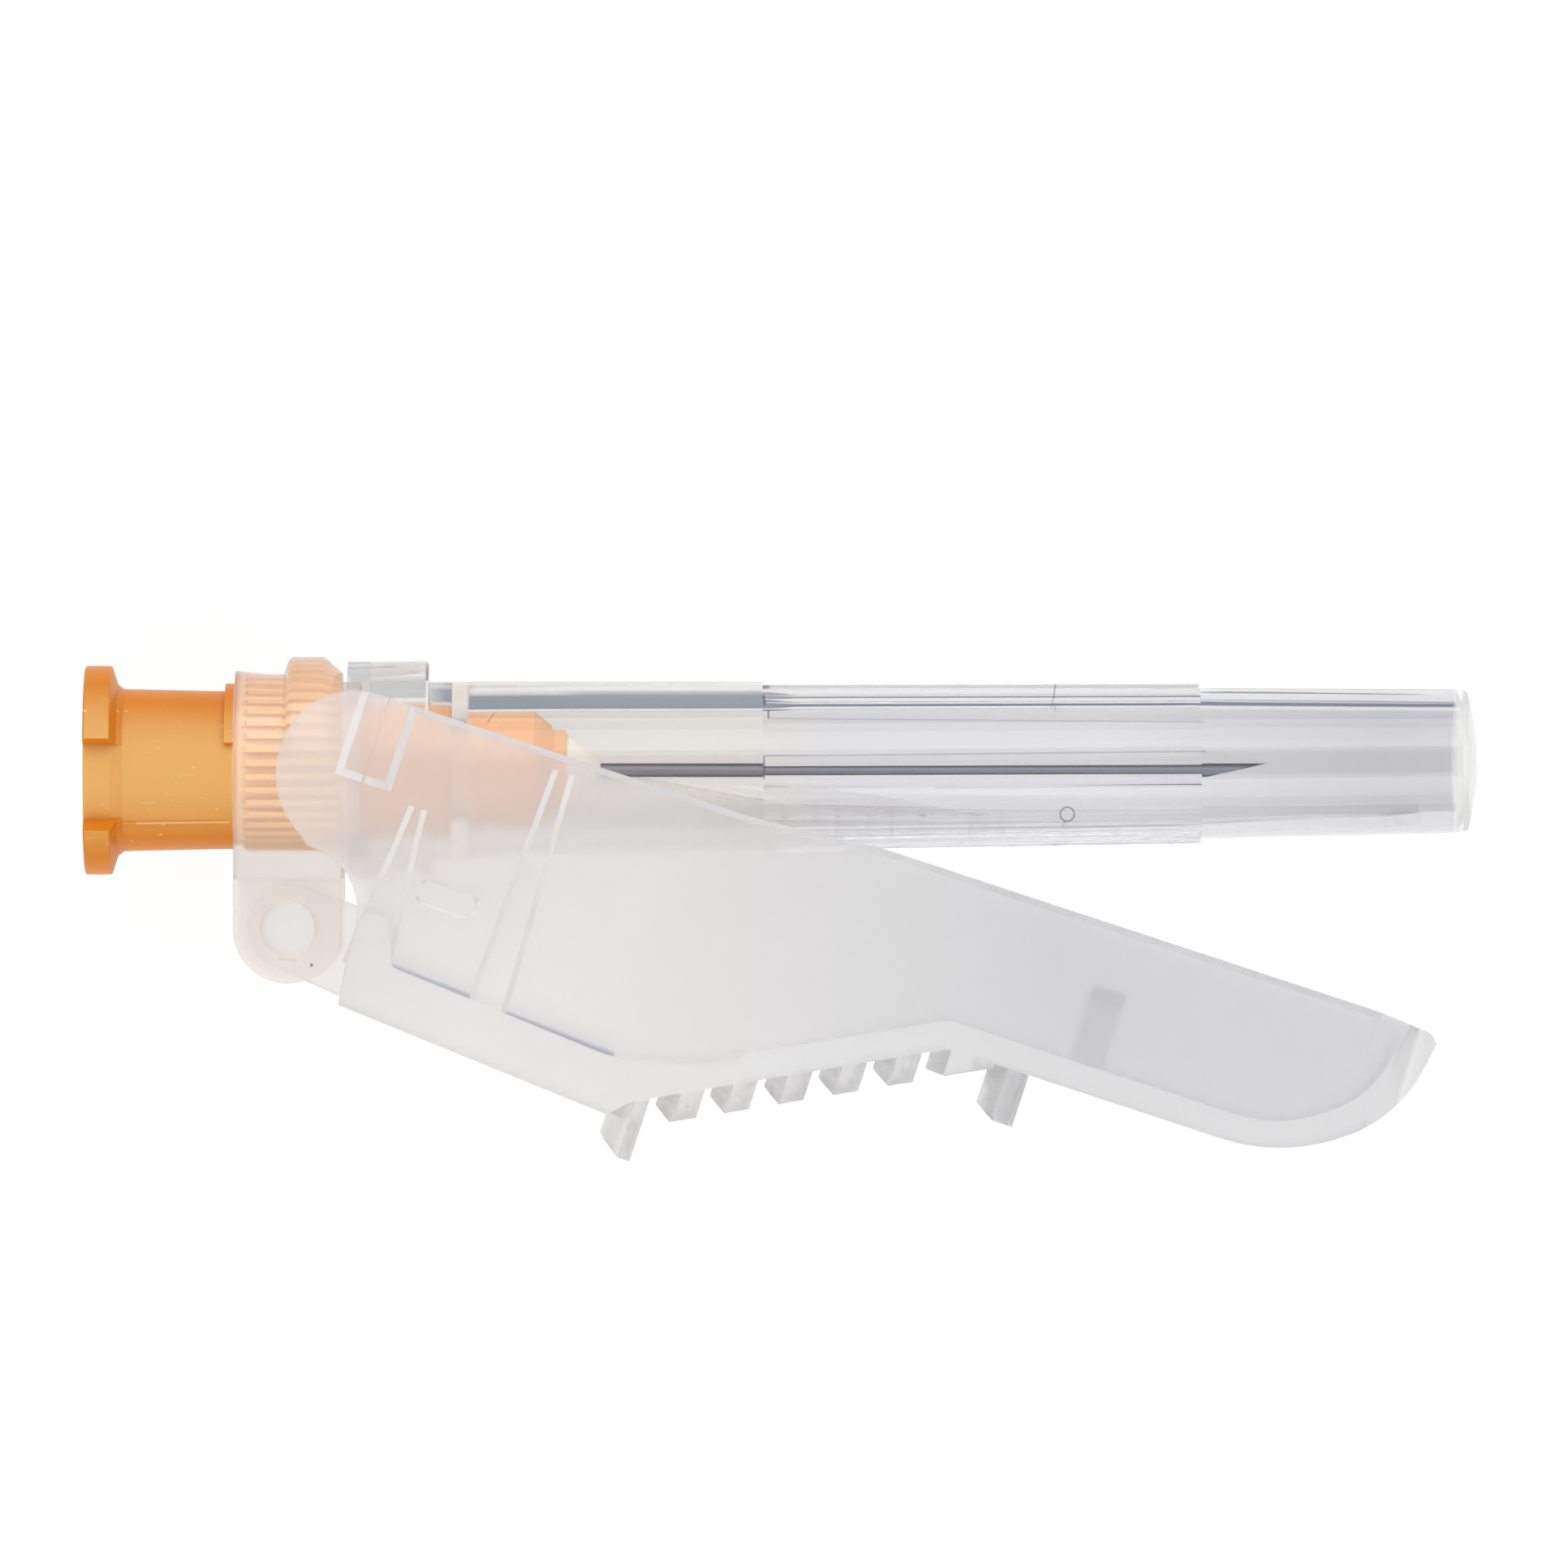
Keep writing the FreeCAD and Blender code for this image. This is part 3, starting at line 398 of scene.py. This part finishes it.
def hubPlastic(s):
    material, tree = newMaterial("orange hub plastic")
    flow = noise(tree, *s["flow"])
    normal = relief(tree, noise(tree, *s["grain"]), *s["grainRelief"])
    normal = relief(tree, noise(tree, *s["drawn"]), *s["drawnRelief"], normal)
    finishMaterial(tree, principled(tree, {
        "Base Color": hubToneAndPaintedLight(tree, s, flow), "Roughness": uneven(tree, flow, s["roughness"]),
        "Normal": normal, "IOR": s["ior"], "Specular IOR Level": s["shine"],
        "Subsurface Weight": s["subsurface"], "Subsurface Scale": mm, "Subsurface Radius": s["radius"],
    }))
    return material


natural = {
    # What the collar and the guard have in common
    "cloud": ((220, 220, 220), 3.0),
    "ripple": ((500, 500, 500), 2.0),
    "rippleRelief": (0.25, 0.04),
    "grain": ((9000, 9000, 9000), 2.0),
    "grainRelief": (0.1, 0.01),
    "haze": (0.7, 0.7, 0.7),
    "hazeShare": (0.2, 0.8, 0.12, 0),
    "leanFrom": (0.27, 0.33),      # how far up or down a leaning face looks, at its steepest
    "leanTo": (0.85, 0.92),        # and at its flattest
    "rimTurn": (0.35, 0.6),        # how far it looks rimward before it shows less
    "ior": 1.49,
}
collar = {
    "body": (0.93, 0.895, 0.86),   # light that goes through, rear and front
    "bodyFront": (0.93, 0.895, 0.86),
    "milk": (0.90, 0.865, 0.83),   # light that the plastic scatters back
    "milkFront": (0.90, 0.865, 0.83),
    "along": (5.0, 12.0),          # mm along the needle, from the rear's tones to the front's
    "share": (0.80, 0.80),         # how much of the light goes through
    "roughness": (0.17, 0.22),
    "shadow": (0.97, 0.965, 0.96),
    "depth": 14.0,                 # per metre of plastic
    "flank": 0.80,                 # how much of the light goes through leaning faces
    "flankHighlightMilk": (0.93, 0.90, 0.87),
    "rimward": (0, 1, 0),
    "rimShare": 1.0,
    "grip": (5.6, 9.52),           # mm along the needle where the bore is pressed on the hub's ribs
    "gripRadius": 3.1,             # mm
    "layer": (3.0, 9.0),           # mm from the middle plane, between which the ink marks lie
    "inkAndShade": (0.10, 0.10, 0.12),
    # kind, place in mm, width, soft edge, strength
    "marks": [("spot", (8.53, -7.24), 0.07, 0.03, 0.95),
              ("stroke", (7.35, -7.02, 7.95, -7.06), 0.02, 0.04, 0.14)],
}
sheath = {
    "body": (0.91, 0.895, 0.885),
    "bodyFront": (0.80, 0.80, 0.81),
    "milk": (0.90, 0.87, 0.855),
    "milkFront": (0.78, 0.78, 0.79),
    "along": (14.0, 36.0),
    "share": (0.755, 0.88),
    "roughness": (0.2, 0.25),
    "shadow": (0.97, 0.97, 0.97),
    "depth": 12.0,
    "flank": 0.35,                 # leaning faces of ribs, pocket and rim scatter more, and are drawn whiter as a painted highlight
    "flankHighlightMilk": (0.98, 0.975, 0.97),
    "rimward": (0.379, 0.925, 0),  # bevels that face across the channel show less of the painted highlight
    "rimShare": 0.3,
    "grip": None,
    "layer": (4.4, 4.7),
    # Painted reflection: slate lines along the inner floor's edge, standing in for light mirrored there
    "inkAndShade": (0.20, 0.23, 0.36),
    "marks": [("stroke", (11.45, -7.25, 14.4, -8.41), 0.08, 0.12, 0.75),
              ("stroke", (15.8, -9.05, 19.6, -10.54), 0.08, 0.14, 0.8)],
}


# How much a face leans; there the plastic is drawn whiter as a painted highlight and lets less light
# through
def flankShare(tree, s):
    upright = maths(tree, "ABSOLUTE", faceUp(tree))
    normal = put(tree, "ShaderNodeTexCoord").outputs["Normal"]
    rimward = maths(tree, "ABSOLUTE", vector(tree, "DOT_PRODUCT", normal, s["rimward"]))
    return product(tree, spread(tree, upright, *natural["leanFrom"]),
                   spread(tree, upright, *natural["leanTo"], 1, 0),
                   spread(tree, rimward, *natural["rimTurn"], 1, s["rimShare"]))


def naturalPlastic(name, s):
    material, tree = newMaterial(name)
    place = objectPoint(tree)
    cloud = noise(tree, *natural["cloud"])
    along = fade(tree, place["X"], s["along"])
    flank = flankShare(tree, s)
    body = blend(tree, along, s["body"], s["bodyFront"])
    milk = blend(tree, along, s["milk"], s["milkFront"])
    milk = blend(tree, spread(tree, cloud, *natural["hazeShare"]), milk, natural["haze"])
    # Painted highlight: leaning faces whiter
    milk = blend(tree, flank, milk, s["flankHighlightMilk"])
    normal = relief(tree, noise(tree, *natural["ripple"]), *natural["rippleRelief"])
    normal = relief(tree, noise(tree, *natural["grain"]), *natural["grainRelief"], normal)
    finish = {"Roughness": uneven(tree, cloud, s["roughness"]), "Normal": normal, "IOR": natural["ior"]}
    clear = principled(tree, {**finish, "Base Color": body, "Transmission Weight": 1.0})
    matt = principled(tree, {**finish, "Base Color": milk})
    passed = blendValue(tree, flank, spread(tree, along, 0, 1, *s["share"]), s["flank"])
    shader = blendShader(tree, passed, matt, clear)
    layer = between(tree, maths(tree, "ABSOLUTE", place["Z"]), *s["layer"])
    shader = inkAndShadeOver(tree, shader, product(tree, marks(tree, s["marks"]), layer), s["inkAndShade"])
    if s["grip"]:
        # Where the bore is pressed on the hub there is no air, so light goes straight on
        close = maths(tree, "LESS_THAN", axisDistance(tree, place), s["gripRadius"] * mm)
        pressed = product(tree, between(tree, place["X"], *s["grip"]), close)
        onward = put(tree, "ShaderNodeBsdfTransparent").outputs[0]
        shader = blendShader(tree, pressed, shader, onward)
    volume = {"Color": (0, 0, 0, 1), "Density": s["depth"]}
    depth = put(tree, "ShaderNodeVolumeAbsorption", volume).outputs[0]
    finishMaterial(tree, lampsThrough(tree, shader, s["shadow"]), depth)
    return material


cap = {
    "rear": (0.82, 0.80, 0.775),
    "middle": (0.80, 0.795, 0.81),
    "middleStart": (24, 28),         # mm along the needle
    # Painted reflection: the tip drawn darker, standing in for the room mirrored on it
    "tip": (0.72, 0.715, 0.735),
    "tipStart": (38, 48),
    "transmission": 0.96,
    "step": (0.93, 0.88, 0.82),      # the bore's step, drawn paler and less clear as painted light
    "stepRise": (13.68, 13.74),
    "stepFall": (14.26, 14.36),
    "stepTransmission": 0.4,
    "stepSide": (1.7, 2.0),          # mm to either side, beyond the hub's sleeve
    "stepMiddle": 0.1,               # how much of it shows over the sleeve
    "dome": (0.97, 0.965, 0.96),     # the closed end, a little frosted
    "domeStart": (51.0, 51.2),
    "domeTransmission": 0.55,
    "ripple": ((260, 500, 500), 2.0),
    "rippleRelief": (0.008, 0.03),
    "roughness": (0.0, 0.008),
    "ior": 1.49,
    "shadow": (0.96, 0.96, 0.96),
    "outer": 2.5,                    # mm from the axis, beyond which the marks lie
    "inkAndShade": (0.12, 0.13, 0.16),
    # The ring mark with its tail, the hairline, the step's ticks, and last the edges of the flats, which
    # are painted shade lines
    "marks": [("ring", (36.62, -1.64, 0.26), 0.02, 0.03, 0.75),
              ("stroke", (36.55, -1.9, 36.4, -2.12), 0.02, 0.03, 0.6),
              ("stroke", (36.2, 3.2, 36.12, 2.7), 0.02, 0.03, 0.6),
              ("stroke", (36.12, 2.7, 36.02, 2.35), 0.02, 0.03, 0.5),
              ("stroke", (25.32, 2.75, 25.36, 2.45), 0.05, 0.04, 0.8),
              ("stroke", (25.5, 2.2, 25.5, 1.95), 0.03, 0.04, 0.7),
              ("stroke", (25.34, 0.5, 25.34, -0.3), 0.02, 0.04, 0.7),
              ("stroke", (25.34, 0.52, 41.76, 0.70), 0.03, 0.03, 0.35),
              ("stroke", (25.5, 1.92, 41.7, 1.79), 0.02, 0.03, 0.25),
              ("stroke", (31.7, -0.66, 41.76, -0.58), 0.02, 0.03, 0.12),
              ("stroke", (26.6, -2.24, 41.1, -2.05), 0.03, 0.04, 0.25)],
}


def clearPlastic(s):
    material, tree = newMaterial("clear cap plastic")
    place = objectPoint(tree)
    ripple = noise(tree, *s["ripple"])
    beside = fade(tree, maths(tree, "ABSOLUTE", place["Y"]), s["stepSide"], s["stepMiddle"], 1)
    step = product(tree, fade(tree, place["X"], s["stepRise"]),
                   fade(tree, place["X"], s["stepFall"], 1, 0), beside)
    dome = fade(tree, place["X"], s["domeStart"])
    tone = blend(tree, fade(tree, place["X"], s["middleStart"]), s["rear"], s["middle"])
    # Painted reflection: darker towards the tip
    tone = blend(tree, fade(tree, place["X"], s["tipStart"]), tone, s["tip"])
    # Painted light: the bore's step paler and less clear
    tone = blend(tree, step, tone, s["step"])
    tone = blend(tree, dome, tone, s["dome"])
    passed = spread(tree, step, 0, 1, s["transmission"], s["stepTransmission"])
    passed = blendValue(tree, dome, passed, s["domeTransmission"])
    shader = principled(tree, {
        "Base Color": tone, "Roughness": uneven(tree, ripple, s["roughness"]),
        "Normal": relief(tree, ripple, *s["rippleRelief"]), "IOR": s["ior"],
        "Transmission Weight": passed,
    })
    # Marks lie on the upper outer surface only
    outer = product(tree, maths(tree, "GREATER_THAN", place["Z"], 0.0),
                    maths(tree, "GREATER_THAN", axisDistance(tree, place), s["outer"] * mm))
    shader = inkAndShadeOver(tree, shader, product(tree, marks(tree, s["marks"]), outer), s["inkAndShade"])
    finishMaterial(tree, lampsThrough(tree, shader, s["shadow"]))
    return material


steel = {
    "deep": (0.184, 0.188, 0.224),
    "light": (0.23, 0.235, 0.28),
    "stops": (0.2, 0.8),
    "side": (0.05, 0.054, 0.07),     # painted reflection: the steep sides drawn dark, as if mirroring the dark horizon
    "sideUp": (0.6, 0.95),           # how far up or down a face looks, from the painted dark side to the top
    "edge": (0.1, 0.1, 0.12, 1),
    "drawn": ((300, 24000, 24000), 3.0),
    "drawnRelief": (0.25, 0.004),
    "roughness": (0.44, 0.54),
}


def cannulaSteel(s):
    material, tree = newMaterial("ground steel")
    drawn = noise(tree, *s["drawn"])
    tone = ramp(tree, drawn, s["stops"], (s["deep"], s["light"]))
    upright = maths(tree, "ABSOLUTE", faceUp(tree))
    finishMaterial(tree, principled(tree, {
        # Painted reflection: the steep sides darker than the top
        "Base Color": blend(tree, spread(tree, upright, *s["sideUp"]), s["side"], tone),
        "Roughness": uneven(tree, drawn, s["roughness"]),
        "Normal": relief(tree, drawn, *s["drawnRelief"]),
        "Metallic": 1.0, "Specular Tint": s["edge"],
    }))
    return material


glue = {
    "deep": (0.9215, 0.874, 0.7885),
    "light": (0.97, 0.92, 0.83),
    "stops": (0.25, 0.75),
    "cloud": ((1500, 1500, 1500), 3.0),
    "cloudRelief": (0.3, 0.02),
    "roughness": (0.12, 0.3),
    "ior": 1.5,
    "subsurface": 0.3,
    "radius": (0.3, 0.25, 0.2),      # mm
}


def creamAdhesive(s):
    material, tree = newMaterial("cream adhesive")
    cloud = noise(tree, *s["cloud"])
    finishMaterial(tree, principled(tree, {
        "Base Color": ramp(tree, cloud, s["stops"], (s["deep"], s["light"])),
        "Roughness": uneven(tree, cloud, s["roughness"]),
        "Normal": relief(tree, cloud, *s["cloudRelief"]), "IOR": s["ior"],
        "Subsurface Weight": s["subsurface"], "Subsurface Scale": mm, "Subsurface Radius": s["radius"],
    }))
    return material


dress("needle_hub", hubPlastic(hub))
dress("hinge_collar", naturalPlastic("milky collar plastic", collar))
dress("safety_sheath", naturalPlastic("milky guard plastic", sheath))
dress("protective_cap", clearPlastic(cap))
dress("cannula", cannulaSteel(steel))
dress("adhesive_bead", creamAdhesive(glue))
print("materials on all six parts")
